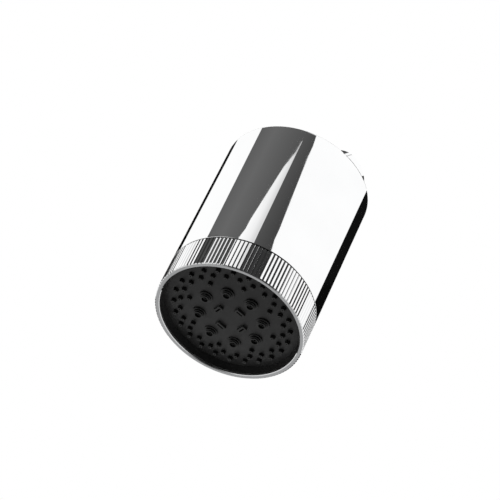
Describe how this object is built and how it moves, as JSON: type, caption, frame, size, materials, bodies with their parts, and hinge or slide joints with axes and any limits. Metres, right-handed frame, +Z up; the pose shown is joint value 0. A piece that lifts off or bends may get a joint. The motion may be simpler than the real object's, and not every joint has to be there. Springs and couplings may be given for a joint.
{
  "type": "overhead shower head",
  "caption": "Cylindrical overhead shower head: mirror barrel, fluted turning ring, recessed black nozzle face and a swivel ball inlet for a pipe thread.",
  "frame": {"origin": "centre of the inlet nut's mouth, where the pipe enters", "axes": "+Z up along the head's spray axis, which points down at rest; the inlet nut leans towards +X"},
  "size_m": [0.0709, 0.0708, 0.1273],
  "materials": {
    "barrel_chrome": "mirror plating",
    "ring_chrome": "mirror plating on fine flutes",
    "connector_chrome": "polished plating",
    "tail_brass": "turned",
    "face_black": "fine moulded grain",
    "nozzle_rubber": "soft matt",
    "jet_rubber": "soft satin",
    "housing_plastic": "moulded",
    "plate_plastic": "moulded",
    "rotor_plastic": "moulded",
    "seal_rubber": "soft matt",
    "fastener_steel": "turned"
  },
  "bodies": {
    "supply": {"union_nut": "connector_chrome", "inlet_washer": "seal_rubber", "filter_screen": "fastener_steel"},
    "tail": {"ball_tail": "tail_brass", "swivel_ball": "connector_chrome", "flow_regulator": "plate_plastic", "regulator_ring": "seal_rubber"},
    "head": {"body_shell": "barrel_chrome", "ball_collar": "connector_chrome", "ball_seat": "housing_plastic", "ball_seal": "seal_rubber", "housing_cap": "housing_plastic", "housing_cup": "housing_plastic", "housing_seal": "seal_rubber", "housing_screws": "fastener_steel", "port_seal": "seal_rubber", "port_spring": "fastener_steel"},
    "selector": {"selector_ring": "ring_chrome", "face_plate": "face_black", "nozzle_mat": "nozzle_rubber", "jet_nozzle_1": "jet_rubber", "jet_nozzle_2": "jet_rubber", "jet_nozzle_3": "jet_rubber", "jet_nozzle_4": "jet_rubber", "jet_nozzle_5": "jet_rubber", "jet_nozzle_6": "jet_rubber", "jet_nozzle_7": "jet_rubber", "jet_nozzle_8": "jet_rubber", "spray_plate": "plate_plastic", "channel_plate": "plate_plastic", "valve_disc": "plate_plastic", "plate_screws": "fastener_steel", "hub_seal": "seal_rubber", "pivot_washer": "fastener_steel", "pivot_screw": "fastener_steel"},
    "turbine": {"massage_turbine": "rotor_plastic"}
  },
  "joints": [
    {"name": "tail_swivel", "type": "hinge", "parent": "supply", "child": "tail", "pos_m": [-0.02031, 0, -0.03068], "axis": [0.5519, 0, 0.8339], "continuous": true},
    {"name": "head_tilt", "type": "hinge", "parent": "tail", "child": "head", "pos_m": [-0.02031, 0, -0.03068], "axis": [0, 1, 0], "range_deg": [-1.5, 68.5]},
    {"name": "mode_turn", "type": "hinge", "parent": "head", "child": "selector", "pos_m": [-0.02031, 0, -0.12048], "axis": [0, 0, 1], "range_deg": [0, 80]},
    {"name": "turbine_spin", "type": "hinge", "parent": "selector", "child": "turbine", "pos_m": [-0.02031, 0, -0.11048], "axis": [0, 0, 1], "continuous": true}
  ]
}
